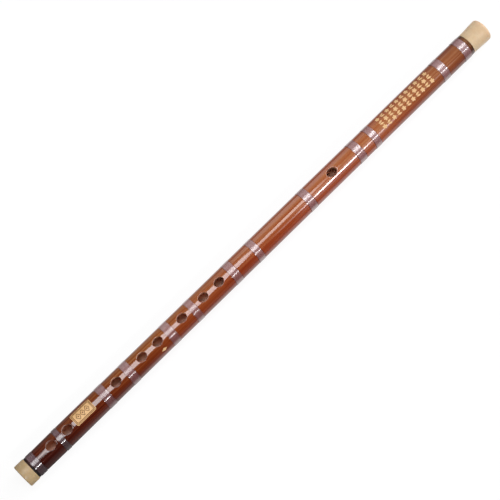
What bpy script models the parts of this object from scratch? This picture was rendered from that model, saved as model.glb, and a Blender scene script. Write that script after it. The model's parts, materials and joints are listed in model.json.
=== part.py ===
"""Dizi: a one-piece bamboo transverse flute with bound joints, two end caps and a tuning stopper.

The flute lies along X with its tail at -X, its head at +X and its playing holes facing +Z.
The origin is under the middle of the flute, on the surface that it lies on.
Every length below is in metres.
"""
import math

import bmesh
import bpy
from mathutils import Vector

# Whole flute and its tube
FLUTE_LENGTH = 0.5600
TUBE_DIAMETER = 0.0212
BORE_DIAMETER = 0.0150
CLEARANCE = 0.0003
SIDES = 32

# End caps, which slide over a tenon at each end of the tube.
# Steps, insets and what stands proud are measured from the tube's surface.
TENON_STEP = 0.0017
TAIL_CAP_LENGTH = 0.0100
TAIL_CAP_PROUD = 0.0003
TAIL_CAP_LIP = 0.0030
TAIL_CAP_ROUNDING = 0.0010
HEAD_CAP_LENGTH = 0.0209
HEAD_CAP_NECK_INSET = 0.0004
HEAD_CAP_RIM_PROUD = 0.0003
HEAD_CAP_RIM_FROM_END = 0.0026
HEAD_CAP_LIP = 0.0045
HEAD_CAP_ROUNDING = 0.0018
CAP_MOUTH_CHAMFER = 0.0003
ROUNDING_STEPS = 3
FLARE_STEPS = 4

# Thread bindings, each lying in a shallow turned seat
BROAD_BINDING = 0.0081
MEDIUM_BINDING = 0.0071
NARROW_BINDING = 0.0053
BINDING_SEAT_DEPTH = 0.0006
BINDING_PROUD = 0.00025
BINDING_SHOULDER_WIDTH = 0.0010
BINDING_SHOULDER_DROP = 0.0003

# Holes: the longer way of each oval lies along the tube
BLOW_HOLE_LENGTH = 0.0102
BLOW_HOLE_WIDTH = 0.0080
FINGER_HOLE_LENGTH = 0.0098
FINGER_HOLE_WIDTH = 0.0084
VENT_LENGTH = 0.0095
VENT_WIDTH = 0.0085
BACK_VENT_DIAMETER = 0.0066
BACK_VENT_FROM_VENT = 0.0022
RIM_SOFTENING = 0.0004
HOLE_SIDES = 24
MERGE_DISTANCE = 1e-6
SHARP_ANGLE = 35

# Where the plugs that cut the holes start and end, as shares of the bore's and the tube's radius
DRILL_START = 0.2
DRILL_END = 1.5

# Cork stopper on the head side of the blow hole
STOPPER_LENGTH = 0.0160
STOPPER_FROM_BLOW_HOLE = 0.0020
STOPPER_CHAMFER = 0.0006

# The two longest plain runs of bamboo take the length that all else leaves.
# The middle run's share of it is set here, and the head run has the rest.
MIDDLE_RUN_SHARE = 0.415

# Clear bamboo before each binding or hole, from the tail cap to the head cap.
# Bindings are numbered from the head, as are the finger holes.
LAYOUT = (
    (0.0021, "binding_13"),
    (0.0107, "vent_2"),
    (0.0022, "binding_12"),
    (0.0014, "vent_1"),
    (0.0336, "binding_11"),
    (0.0051, "finger_hole_6"),
    (0.0050, "binding_10"),
    (0.0070, "finger_hole_5"),
    (0.0087, "finger_hole_4"),
    (0.0043, "binding_09"),
    (0.0064, "finger_hole_3"),
    (0.0043, "binding_08"),
    (0.0042, "finger_hole_2"),
    (0.0090, "finger_hole_1"),
    (0.0060, "binding_07"),
    (0.0198, "binding_06"),
    ("middle_run", "binding_05"),
    (0.0220, "blow_hole"),
    (0.0211, "binding_04"),
    (0.0115, "binding_03"),
    ("head_run", "binding_02"),
    (0.0191, "binding_01"),
    (0.0036, "head_cap"),
)
BINDING_WIDTHS = {
    "binding_01": BROAD_BINDING,
    "binding_02": BROAD_BINDING,
    "binding_03": MEDIUM_BINDING,
    "binding_04": BROAD_BINDING,
    "binding_05": BROAD_BINDING,
    "binding_06": MEDIUM_BINDING,
    "binding_07": BROAD_BINDING,
    "binding_08": MEDIUM_BINDING,
    "binding_09": BROAD_BINDING,
    "binding_10": BROAD_BINDING,
    "binding_11": BROAD_BINDING,
    "binding_12": NARROW_BINDING,
    "binding_13": MEDIUM_BINDING,
}
HOLE_SIZES = {
    "blow_hole": (BLOW_HOLE_LENGTH, BLOW_HOLE_WIDTH),
    "finger_hole": (FINGER_HOLE_LENGTH, FINGER_HOLE_WIDTH),
    "vent": (VENT_LENGTH, VENT_WIDTH),
}

TUBE_RADIUS = TUBE_DIAMETER / 2
BORE_RADIUS = BORE_DIAMETER / 2
TENON_RADIUS = TUBE_RADIUS - TENON_STEP
BINDING_RADIUS = TUBE_RADIUS + BINDING_PROUD
# A turned piece lies on one of its flat sides, which is nearer to the axis than its corners
FLAT_SHARE = math.cos(math.pi / SIDES)
AXIS_HEIGHT = FLAT_SHARE * (TUBE_RADIUS + max(TAIL_CAP_PROUD, HEAD_CAP_RIM_PROUD, BINDING_PROUD))


def hole_size(name):
    """Length and width of the named hole."""
    return HOLE_SIZES[name if name in HOLE_SIZES else name.rsplit("_", 1)[0]]


def length_along(name):
    """Length of the named binding, hole or cap along the tube."""
    if name in BINDING_WIDTHS:
        return BINDING_WIDTHS[name]
    if name == "head_cap":
        return HEAD_CAP_LENGTH
    return hole_size(name)[0]


def lay_out():
    """Start and end of every binding and hole, measured from the tail end."""
    share = {"middle_run": MIDDLE_RUN_SHARE, "head_run": 1 - MIDDLE_RUN_SHARE}
    taken = TAIL_CAP_LENGTH + sum(length_along(name) for clear, name in LAYOUT)
    taken += sum(clear for clear, name in LAYOUT if clear not in share)
    spans = {}
    station = TAIL_CAP_LENGTH
    for clear, name in LAYOUT:
        if clear in share:
            clear = (FLUTE_LENGTH - taken) * share[clear]
        station += clear
        spans[name] = (station, station + length_along(name))
        station = spans[name][1]
    return spans


SPANS = lay_out()
HEAD_CAP_START = SPANS["head_cap"][0]


def clear_scene():
    for item in list(bpy.data.objects):
        bpy.data.objects.remove(item, do_unlink=True)


def material(name, colour, roughness, coat=0.0):
    """Principled material with one colour."""
    made = bpy.data.materials.new(name)
    made.use_nodes = True
    shader = made.node_tree.nodes["Principled BSDF"]
    shader.inputs["Base Color"].default_value = (*colour, 1.0)
    shader.inputs["Roughness"].default_value = roughness
    shader.inputs["Metallic"].default_value = 0.0
    shader.inputs["Coat Weight"].default_value = coat
    made.diffuse_color = (*colour, 1.0)
    return made


def quarter_round(centre_x, centre_r, radius, start_angle, end_angle):
    """Points of an arc in the (x, r) plane, with both its ends."""
    points = []
    for step in range(ROUNDING_STEPS + 1):
        angle = math.radians(start_angle + (end_angle - start_angle) * step / ROUNDING_STEPS)
        points.append((centre_x + radius * math.cos(angle), centre_r + radius * math.sin(angle)))
    return points


def turned(name, outline, finish, parent, station):
    """Piece turned round X from an outline of (x, r) points, with a flat side underneath.

    The outline closes on itself, or starts and ends on the axis for a solid piece.
    """
    shape = bmesh.new()
    half_side = math.pi / SIDES
    across = Vector((0.0, math.sin(half_side), math.cos(half_side)))
    corners = [shape.verts.new(Vector((x, 0.0, 0.0)) + across * r) for x, r in outline]
    edges = [shape.edges.new(pair) for pair in zip(corners, corners[1:])]
    if outline[0][1] > 0.0:
        edges.append(shape.edges.new((corners[-1], corners[0])))
    bmesh.ops.spin(shape, geom=corners + edges, cent=(0.0, 0.0, 0.0), axis=(1.0, 0.0, 0.0),
                   angle=2 * math.pi, steps=SIDES, use_merge=True)
    bmesh.ops.remove_doubles(shape, verts=shape.verts, dist=MERGE_DISTANCE)
    bmesh.ops.recalc_face_normals(shape, faces=shape.faces)
    return add_object(name, shape, finish, parent, station)


def add_object(name, shape, finish, parent, station):
    """Object made from a bmesh, placed on the flute's axis at its station from the tail."""
    mesh = bpy.data.meshes.new(name)
    shape.to_mesh(mesh)
    shape.free()
    mesh.shade_smooth()
    mesh.set_sharp_from_angle(angle=math.radians(SHARP_ANGLE))
    if finish is not None:
        mesh.materials.append(finish)
    piece = bpy.data.objects.new(name, mesh)
    bpy.context.collection.objects.link(piece)
    piece.parent = parent
    piece.location = (station, 0.0, 0.0)
    return piece


def axis_empty():
    """Empty on the flute's axis at its tail end, which carries every piece."""
    empty = bpy.data.objects.new("flute_axis", None)
    bpy.context.collection.objects.link(empty)
    empty.location = (-FLUTE_LENGTH / 2, 0.0, AXIS_HEIGHT)
    return empty


def oval_drill(shape, centre_x, length, width, side):
    """Adds an oval plug that cuts through the wall on one side, 1 above or -1 below.

    Near the surface it widens by the rim's softening. Those rings follow the tube's round, so the
    softened edge is as wide beside the hole as it is along the tube.
    """
    def ring(grow, height):
        corners = []
        for step in range(HOLE_SIDES):
            angle = 2 * math.pi * (step + 0.5) / HOLE_SIDES
            x = (length / 2 + grow) * math.cos(angle)
            y = (width / 2 + grow) * math.sin(angle)
            corners.append(shape.verts.new((centre_x + x, y, side * height(y))))
        return corners

    def surface(y):
        return FLAT_SHARE * math.sqrt(TUBE_RADIUS ** 2 - y ** 2)

    rings = [ring(0.0, lambda y: BORE_RADIUS * DRILL_START),
             ring(0.0, lambda y: surface(y) - RIM_SOFTENING),
             ring(RIM_SOFTENING, surface),
             ring(RIM_SOFTENING, lambda y: TUBE_RADIUS * DRILL_END)]
    for low, high in zip(rings, rings[1:]):
        for step in range(HOLE_SIDES):
            after = (step + 1) % HOLE_SIDES
            shape.faces.new((low[step], low[after], high[after], high[step]))
    shape.faces.new(rings[0])
    shape.faces.new(rings[-1])


def make_drills(parent):
    """One hidden cutter with a plug for each hole: playing holes above, back vents below.

    Each back vent lies just past the outer end of one front vent, so no light falls straight through.
    """
    shape = bmesh.new()
    for name, (start, end) in SPANS.items():
        if name not in BINDING_WIDTHS and name != "head_cap":
            length, width = hole_size(name)
            oval_drill(shape, (start + end) / 2, length, width, 1)
    aside = BACK_VENT_FROM_VENT + BACK_VENT_DIAMETER / 2
    for centre in (SPANS["vent_2"][0] - aside, SPANS["vent_1"][1] + aside):
        oval_drill(shape, centre, BACK_VENT_DIAMETER, BACK_VENT_DIAMETER, -1)
    bmesh.ops.recalc_face_normals(shape, faces=shape.faces)
    drills = add_object("hole_drills", shape, None, parent, 0.0)
    drills.hide_render = True
    drills.display_type = "WIRE"
    return drills


def make_body(parent):
    """Bamboo tube: turned seats for the bindings, a tenon at each end, the bore and the holes."""
    tail_end = TAIL_CAP_LIP + CLEARANCE
    head_end = FLUTE_LENGTH - HEAD_CAP_LIP - CLEARANCE
    tail_shoulder = TAIL_CAP_LENGTH + CLEARANCE
    head_shoulder = HEAD_CAP_START - CLEARANCE
    seat_radius = TUBE_RADIUS - BINDING_SEAT_DEPTH
    outline = [(tail_end, BORE_RADIUS), (tail_end, TENON_RADIUS), (tail_shoulder, TENON_RADIUS),
               (tail_shoulder, TUBE_RADIUS)]
    for name, (start, end) in SPANS.items():
        if name in BINDING_WIDTHS:
            outline += [(start - CLEARANCE, TUBE_RADIUS), (start - CLEARANCE, seat_radius),
                        (end + CLEARANCE, seat_radius), (end + CLEARANCE, TUBE_RADIUS)]
    outline += [(head_shoulder, TUBE_RADIUS), (head_shoulder, TENON_RADIUS),
                (head_end, TENON_RADIUS), (head_end, BORE_RADIUS)]
    body = turned("bamboo_body", outline, material("bamboo", (0.33, 0.10, 0.035), 0.35, 0.5),
                  parent, 0.0)
    cut = body.modifiers.new("holes", "BOOLEAN")
    cut.operation = "DIFFERENCE"
    cut.solver = "EXACT"
    cut.object = make_drills(parent)
    return body


def make_binding(name, parent):
    """Ring of lacquered thread with rounded shoulders, lying in its seat."""
    start, end = SPANS[name]
    width = end - start
    inside = TUBE_RADIUS - BINDING_SEAT_DEPTH + CLEARANCE
    shoulder = min(BINDING_SHOULDER_WIDTH, width / 3)
    outline = [(0.0, inside), (0.0, BINDING_RADIUS - BINDING_SHOULDER_DROP),
               (shoulder, BINDING_RADIUS), (width - shoulder, BINDING_RADIUS),
               (width, BINDING_RADIUS - BINDING_SHOULDER_DROP), (width, inside)]
    return turned(name, outline, material("thread_" + name[-2:], (0.23, 0.15, 0.16), 0.25, 0.6),
                  parent, start)


def cap_socket(mouth_x, lip_x, end_x):
    """Inside of a cap, from its mouth over the tenon to the bore through its lip."""
    socket_radius = TENON_RADIUS + CLEARANCE
    inward = math.copysign(CAP_MOUTH_CHAMFER, lip_x - mouth_x)
    return [(mouth_x, socket_radius + CAP_MOUTH_CHAMFER), (mouth_x + inward, socket_radius),
            (lip_x, socket_radius), (lip_x, BORE_RADIUS), (end_x, BORE_RADIUS)]


def make_tail_cap(parent):
    """Short plain ring with rounded edges, open through its middle."""
    radius = TUBE_RADIUS + TAIL_CAP_PROUD
    edge = TAIL_CAP_ROUNDING
    outline = quarter_round(edge, radius - edge, edge, 180, 90)
    outline += quarter_round(TAIL_CAP_LENGTH - edge, radius - edge, edge, 90, 0)
    outline += cap_socket(TAIL_CAP_LENGTH, TAIL_CAP_LIP, 0.0)
    return turned("tail_cap", outline, material("tail_cap_bone", (0.45, 0.32, 0.16), 0.35, 0.2),
                  parent, 0.0)


def make_head_cap(parent):
    """Longer ring, drawn in at its mouth and flared to a rounded rim, open through its middle."""
    neck = TUBE_RADIUS - HEAD_CAP_NECK_INSET
    rim = TUBE_RADIUS + HEAD_CAP_RIM_PROUD
    edge = HEAD_CAP_ROUNDING
    rim_x = HEAD_CAP_LENGTH - HEAD_CAP_RIM_FROM_END
    outline = []
    for step in range(FLARE_STEPS + 1):
        along = step / FLARE_STEPS
        flare = along * along * (3.0 - 2.0 * along)
        outline.append((rim_x * along, neck + (rim - neck) * flare))
    outline += quarter_round(HEAD_CAP_LENGTH - edge, rim - edge, edge, 90, 0)
    outline += cap_socket(0.0, HEAD_CAP_LENGTH - HEAD_CAP_LIP, HEAD_CAP_LENGTH)[::-1]
    return turned("head_cap", outline, material("head_cap_bone", (0.70, 0.49, 0.27), 0.35, 0.2),
                  parent, HEAD_CAP_START)


def make_stopper(parent):
    """Cork plug that slides in the bore, with its origin at its face towards the blow hole."""
    radius = BORE_RADIUS - CLEARANCE
    edge = STOPPER_CHAMFER
    outline = [(0.0, 0.0), (0.0, radius - edge), (edge, radius),
               (STOPPER_LENGTH - edge, radius), (STOPPER_LENGTH, radius - edge),
               (STOPPER_LENGTH, 0.0)]
    station = SPANS["blow_hole"][1] + STOPPER_FROM_BLOW_HOLE
    return turned("cork_stopper", outline, material("cork", (0.50, 0.31, 0.16), 0.9),
                  parent, station)


def main():
    clear_scene()
    axis = axis_empty()
    make_body(axis)
    for name in sorted(BINDING_WIDTHS):
        make_binding(name, axis)
    make_tail_cap(axis)
    make_head_cap(axis)
    make_stopper(axis)
    print(f"flute length {FLUTE_LENGTH:.4f} m, axis height {AXIS_HEIGHT:.5f} m")
    for name, (start, end) in SPANS.items():
        print(f"{name:14s} from {start - FLUTE_LENGTH / 2:.4f} to {end - FLUTE_LENGTH / 2:.4f} m")


main()
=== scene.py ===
"""Looks of the dizi: its bamboo, thread bindings, end caps, cork and painted ornament.

Lengths are in metres and angles in degrees. The flute lies along X with its holes facing +Z.
An angle round the tube starts at the line of the playing holes and grows towards +Y.
"""

import json
import math

import bmesh
import bpy
from mathutils import Matrix, Vector


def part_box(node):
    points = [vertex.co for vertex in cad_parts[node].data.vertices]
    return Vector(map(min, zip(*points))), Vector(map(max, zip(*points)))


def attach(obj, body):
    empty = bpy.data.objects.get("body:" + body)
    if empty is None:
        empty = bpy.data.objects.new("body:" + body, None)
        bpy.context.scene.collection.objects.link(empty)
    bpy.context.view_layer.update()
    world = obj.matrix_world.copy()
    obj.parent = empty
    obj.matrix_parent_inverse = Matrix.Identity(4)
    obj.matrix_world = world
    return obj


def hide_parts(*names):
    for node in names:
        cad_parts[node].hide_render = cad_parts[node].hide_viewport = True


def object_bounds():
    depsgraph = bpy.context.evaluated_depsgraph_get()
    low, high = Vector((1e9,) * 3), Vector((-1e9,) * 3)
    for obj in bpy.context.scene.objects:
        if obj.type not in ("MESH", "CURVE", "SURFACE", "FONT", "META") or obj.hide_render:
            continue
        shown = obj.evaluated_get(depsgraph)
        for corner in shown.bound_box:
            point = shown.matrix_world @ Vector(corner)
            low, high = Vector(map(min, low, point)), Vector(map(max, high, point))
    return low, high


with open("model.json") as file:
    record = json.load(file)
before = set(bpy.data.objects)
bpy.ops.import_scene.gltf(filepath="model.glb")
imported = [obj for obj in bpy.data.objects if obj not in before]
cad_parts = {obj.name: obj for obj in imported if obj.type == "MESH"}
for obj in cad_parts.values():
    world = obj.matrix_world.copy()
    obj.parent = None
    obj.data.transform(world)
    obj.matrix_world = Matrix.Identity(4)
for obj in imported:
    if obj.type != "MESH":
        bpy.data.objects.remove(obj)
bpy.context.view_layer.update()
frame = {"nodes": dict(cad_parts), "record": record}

# What the frame gives. Its turned solids have flat sides, so their corners lie further out.
CAD_SIDES = 32
CORNER_SHARE = 1 / math.cos(math.pi / CAD_SIDES)


def axis_height():
    low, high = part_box("bamboo_body")
    return (low.z + high.z) / 2


def outer_radius(node):
    low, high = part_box(node)
    return (high.y - low.y) / 2 * CORNER_SHARE


def opening(name):
    """Middle of a named opening along the tube."""
    for entry in frame["record"]["physics"]["openings"]:
        if entry["name"] == name:
            low, high = entry["box_m"]
            return (low[0] + high[0]) / 2
    raise ValueError(f"the record has no opening named {name}")


AXIS_Z = axis_height()
TUBE_RADIUS = outer_radius("bamboo_body")
BINDING_RADIUS = outer_radius("binding_05")
TAIL_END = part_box("tail_cap")[0].x
HEAD_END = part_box("head_cap")[1].x
TAIL_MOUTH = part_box("tail_cap")[1].x
HEAD_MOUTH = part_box("head_cap")[0].x
BODY_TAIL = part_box("bamboo_body")[0].x
BODY_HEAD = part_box("bamboo_body")[1].x
CORK_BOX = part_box("cork_stopper")
BINDINGS = sorted(name for name in frame["nodes"] if name.startswith("binding_"))
PLAYING_HOLES = ["blow_hole"] + [f"finger_hole_{number}" for number in range(1, 7)]
VENTS = ["vent_1", "vent_2"]
BACK_VENTS = ["back_vent_1", "back_vent_2"]

# Tube
BORE_RADIUS = 0.0075
TENON_RADIUS = TUBE_RADIUS - 0.0017
SHOULDER_GAP = 0.0001
SEGMENTS = 72
SAME_PLACE = 1e-7
RING_SPACING = 0.0045
BORE_RING_SPACING = 0.0090
GROOVE_GAP = 0.00008
GROOVE_BEVEL = 0.00012
GROOVE_DEPTH = 0.00045
GROOVE_CLEAR = 0.00025

# Holes inside their softened rims: length along the tube, width across it, how far the bamboo round
# the hole is worn down, and the radius of the rim's arc along the tube
HOLE_SIZES = {
    "blow_hole": (0.0101, 0.0080, 0.00003, 0.0011),
    "finger_hole": (0.0098, 0.0076, 0.00008, 0.0004),
    "vent": (0.0099, 0.0078, 0.00013, 0.0004),
    "back_vent": (0.0060, 0.0058, 0.00006, 0.0005),
}
# Radius of the rim's arc across the tube, on its +Y and -Y sides
RIM_RADII_ACROSS = (0.00120, 0.00060)
RIM_ARC = 50
RIM_SPREAD = math.sin(math.radians(RIM_ARC))
RIM_STEPS = 7
BORE_EDGE = 0.00025
WORN_HALF_WIDTH = 0.0055
PATCH_MARGIN = 0.0050
BORE_PATCH_MARGIN = 0.0020
PATCH_RINGS = 5
BORE_PATCH_RINGS = 4
# Above 1, a patch's rings lie closer together beside the hole
PATCH_RING_SPREAD = 1.25
# Cells of the tube's grid that a hole's patch takes: half of them across, and all along
TOP_PATCH = {"outer": (7, 20), "bore": (9, 16)}
BACK_PATCH = {"outer": (6, 20), "bore": (8, 16)}

# Bindings
THREAD_PITCH = 0.00040
THREAD_ROWS = 4
THREAD_RIDGE = 0.000045
BINDING_SINK = 0.00040
SHOULDER_WIDTH = 0.0009
SHOULDER_DROP = 0.00016
SEAM_ANGLE = 180
# Bindings whose lacquer lies smooth over the last turns on the head side
LACQUER_RUNS = ("binding_07", "binding_09", "binding_11")
LACQUER_RUN_WIDTH = 0.0013
LACQUER_RUN_FADE = 0.0003


def on_tube(x, angle, radius):
    """Point at a radius from the axis and an angle in radians from the hole line."""
    return (x, radius * math.sin(angle), AXIS_Z + radius * math.cos(angle))


def limited(share):
    return min(1.0, max(0.0, share))


def ease(share):
    """Smooth step from 0 to 1."""
    share = limited(share)
    return share * share * (3.0 - 2.0 * share)


class Shape:
    """Points and faces that are gathered before they become one mesh."""

    def __init__(self):
        self.points = []
        self.faces = []

    def point(self, place):
        self.points.append(place)
        return len(self.points) - 1

    def loop(self, places):
        return [self.point(place) for place in places]

    def quads(self, first, second):
        """Quads between two open rows with as many points."""
        self.faces += zip(first, first[1:], second[1:], second)

    def strip(self, first, second):
        """Quads between two loops with as many points."""
        self.quads(first + first[:1], second + second[:1])

    def fan(self, loop, place):
        """Triangles from one point to a loop."""
        middle = self.point(place)
        self.faces += [(corner, after, middle) for corner, after in zip(loop, loop[1:] + loop[:1])]


def add_object(name, data):
    thing = bpy.data.objects.new(name, data)
    bpy.context.scene.collection.objects.link(thing)
    return thing


def make_piece(name, shape, finish, node=None, body="flute", sharp_angle=40):
    """Smooth-shaded object made from a shape, which rides on a body and may stand for a CAD node."""
    mesh = bpy.data.meshes.new(name)
    mesh.from_pydata(shape.points, [], shape.faces)
    mesh.validate()
    face_outward(mesh)
    mesh.shade_smooth()
    mesh.set_sharp_from_angle(angle=math.radians(sharp_angle))
    mesh.materials.append(finish)
    piece = add_object(name, mesh)
    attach(piece, body)
    if node is not None:
        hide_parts(node)


def face_outward(mesh):
    work = bmesh.new()
    work.from_mesh(mesh)
    bmesh.ops.recalc_face_normals(work, faces=work.faces)
    work.to_mesh(mesh)
    work.free()


# Bamboo tube
TAPER = 0.0005
TAIL_SLIM = 0.00030
TAIL_SLIM_LENGTH = 0.045
HEAD_SLIM = 0.00022
HEAD_SLIM_LENGTH = 0.0034
# How many of its lengths the slimming at the head starts before the cap
HEAD_SLIM_START = 1.2
# Chamfer between the tail cap and the first binding
TAIL_CHAMFER = 0.00032
TAIL_CHAMFER_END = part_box("binding_13")[0].x - 0.0002


def natural_radius(x):
    """Outer radius of the bamboo, which grows slowly towards the tail and is drawn in at both its ends."""
    chamfer = TAIL_CHAMFER * limited((TAIL_CHAMFER_END - x) / (TAIL_CHAMFER_END - TAIL_MOUTH))
    tail_slim = TAIL_SLIM * (1.0 - ease((x - TAIL_MOUTH) / TAIL_SLIM_LENGTH))
    head_slim = HEAD_SLIM * ease((x - HEAD_MOUTH) / HEAD_SLIM_LENGTH + HEAD_SLIM_START)
    return TUBE_RADIUS - TAPER * x - tail_slim - head_slim - chamfer


def hole_size(name):
    key = name if name in HOLE_SIZES else name.rsplit("_", 1)[0]
    return HOLE_SIZES[key]


def hole_plans():
    """Centre, half sizes and patch ends of each hole, from tail to head."""
    plans = []
    for name in PLAYING_HOLES + VENTS + BACK_VENTS:
        length, width, wear, rim_radius = hole_size(name)
        plans.append({"centre": opening(name), "half_length": length / 2, "half_width": width / 2,
                      "side": -1 if name in BACK_VENTS else 1, "wear": wear, "rim_radius": rim_radius,
                      "reach": length / 2 + rim_radius * RIM_SPREAD})
    plans.sort(key=lambda plan: plan["centre"])
    for plan in plans:
        low = plan["centre"] - plan["reach"]
        high = plan["centre"] + plan["reach"]
        before, after, hole_before, hole_after = room_round(plan, plans, low, high)
        plan["start"] = low - min(PATCH_MARGIN, before, hole_before / 2)
        plan["end"] = high + min(PATCH_MARGIN, after, hole_after / 2)
        plan["bore_start"] = low - min(BORE_PATCH_MARGIN, hole_before / 2)
        plan["bore_end"] = high + min(BORE_PATCH_MARGIN, hole_after / 2)
    return plans


def room_round(plan, plans, low, high):
    """Clear bamboo before and after a hole, up to the next binding or cap and up to the next hole."""
    before = low - max([TAIL_MOUTH] + [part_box(name)[1].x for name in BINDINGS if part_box(name)[1].x < low])
    after = min([HEAD_MOUTH] + [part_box(name)[0].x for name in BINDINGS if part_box(name)[0].x > high]) - high
    ends = [other["centre"] + other["reach"] for other in plans if other["centre"] < plan["centre"]]
    starts = [other["centre"] - other["reach"] for other in plans if other["centre"] > plan["centre"]]
    return (before - GROOVE_CLEAR, after - GROOVE_CLEAR,
            low - max(ends, default=TAIL_END), min(starts, default=HEAD_END) - high)


def filled(stations, spacing):
    """Adds rings of the same radius wherever two neighbours stand far apart."""
    result = [stations[0]]
    for x, radius in stations[1:]:
        start, before = result[-1]
        steps = max(1, math.ceil((x - start) / spacing))
        for step in range(1, steps):
            result.append((start + (x - start) * step / steps, before))
        result.append((x, radius))
    return result


def add_patch_rings(stations, start, end, cells, radius):
    """Even rings for a hole's patch. The first is left out where the patch before ends there."""
    first = 1 if start - stations[-1][0] < SAME_PLACE else 0
    for step in range(first, cells + 1):
        stations.append((start + (end - start) * step / cells, radius))


def outer_stations(plans):
    """Rings of the tube's outside as (x, radius), where a radius of None follows the bamboo."""
    tail = TAIL_MOUTH + SHOULDER_GAP
    head = HEAD_MOUTH - SHOULDER_GAP
    stations = [(BODY_TAIL, TENON_RADIUS), (tail, TENON_RADIUS), (tail, None)]
    marks = [(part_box(name)[0].x - GROOVE_GAP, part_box(name)[1].x + GROOVE_GAP, "groove") for name in BINDINGS]
    marks += [(plan["start"], plan["end"], "patch") for plan in plans]
    for start, end, kind in sorted(marks):
        if kind == "patch":
            add_patch_rings(stations, start, end, TOP_PATCH["outer"][1], None)
        else:
            stations.append((start - GROOVE_BEVEL, None))
            for x, depth in ((start, GROOVE_BEVEL), (start, GROOVE_DEPTH), (end, GROOVE_DEPTH),
                             (end, GROOVE_BEVEL)):
                stations.append((x, natural_radius(x) - depth))
            stations.append((end + GROOVE_BEVEL, None))
    stations += [(head, None), (head, TENON_RADIUS), (BODY_HEAD, TENON_RADIUS)]
    return filled(stations, RING_SPACING)


def bore_stations(plans):
    stations = [(BODY_TAIL, BORE_RADIUS)]
    for plan in plans:
        add_patch_rings(stations, plan["bore_start"], plan["bore_end"], TOP_PATCH["bore"][1], BORE_RADIUS)
    stations.append((BODY_HEAD, BORE_RADIUS))
    return filled(stations, BORE_RING_SPACING)


def ring_at(shape, x, radius):
    radius = natural_radius(x) if radius is None else radius
    return shape.loop([on_tube(x, 2 * math.pi * step / SEGMENTS, radius) for step in range(SEGMENTS)])


def patch_size(plan):
    return TOP_PATCH if plan["side"] > 0 else BACK_PATCH


def patch_start(stations, x):
    for index, station in enumerate(stations):
        if abs(station[0] - x) < SAME_PLACE:
            return index
    raise ValueError("a patch has no ring at its start")


def patch_cells(plans, stations, surface):
    """Grid cells that the hole patches take, as a set of (ring, segment)."""
    taken = set()
    key = "start" if surface == "outer" else "bore_start"
    for plan in plans:
        first = patch_start(stations, plan[key])
        plan[surface + "_ring"] = first
        half_across, along = patch_size(plan)[surface]
        middle = 0 if plan["side"] > 0 else SEGMENTS // 2
        for ring in range(first, first + along):
            for cell in range(-half_across, half_across):
                taken.add((ring, (middle + cell) % SEGMENTS))
    return taken


def boundary(rings, first, half_across, along, middle, turn):
    """Grid points round a patch, from its head side at the hole line towards +Y and round."""
    def corner(ring, across):
        return rings[first + ring][(middle + turn * across) % SEGMENTS]
    points = [corner(along, across) for across in range(0, half_across)]
    points += [corner(ring, half_across) for ring in range(along, 0, -1)]
    points += [corner(0, across) for across in range(half_across, -half_across, -1)]
    points += [corner(ring, -half_across) for ring in range(0, along)]
    points += [corner(along, across) for across in range(-half_across, 0)]
    return points


def oval(plan, grow_along, grow_across, count):
    """Points (x, y) round a hole's outline, which is moved out. Across, the +Y and -Y sides differ."""
    places = []
    for step in range(count):
        angle = 2 * math.pi * step / count
        across = plan["half_width"] + grow_across[0 if step < count / 2 else 1]
        places.append((plan["centre"] + (plan["half_length"] + grow_along) * math.cos(angle),
                       across * math.sin(angle)))
    return places


def worn_depth(plan, x, y):
    """How far the bamboo is worn down beside a hole: most on the hole line, nothing at the patch's edge."""
    edge = plan["start"] if x < plan["centre"] else plan["end"]
    room = abs(edge - plan["centre"]) - plan["reach"]
    along = 1.0 - ease((abs(x - plan["centre"]) - plan["reach"]) / room)
    across = max(0.0, 1.0 - (y / WORN_HALF_WIDTH) ** 2) ** 2
    return plan["wear"] * along * across


def add_patch(shape, inner_loop, edge_loop, rings, height):
    """Rings between a hole's loop and the grid round it. Height gives z from (x, y)."""
    before = inner_loop
    for ring in range(1, rings):
        share = (ring / rings) ** PATCH_RING_SPREAD
        loop = []
        for near, far in zip(inner_loop, edge_loop):
            x = shape.points[near][0] * (1 - share) + shape.points[far][0] * share
            y = shape.points[near][1] * (1 - share) + shape.points[far][1] * share
            loop.append(shape.point((x, y, height(x, y))))
        shape.strip(before, loop)
        before = loop
    shape.strip(before, edge_loop)


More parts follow.
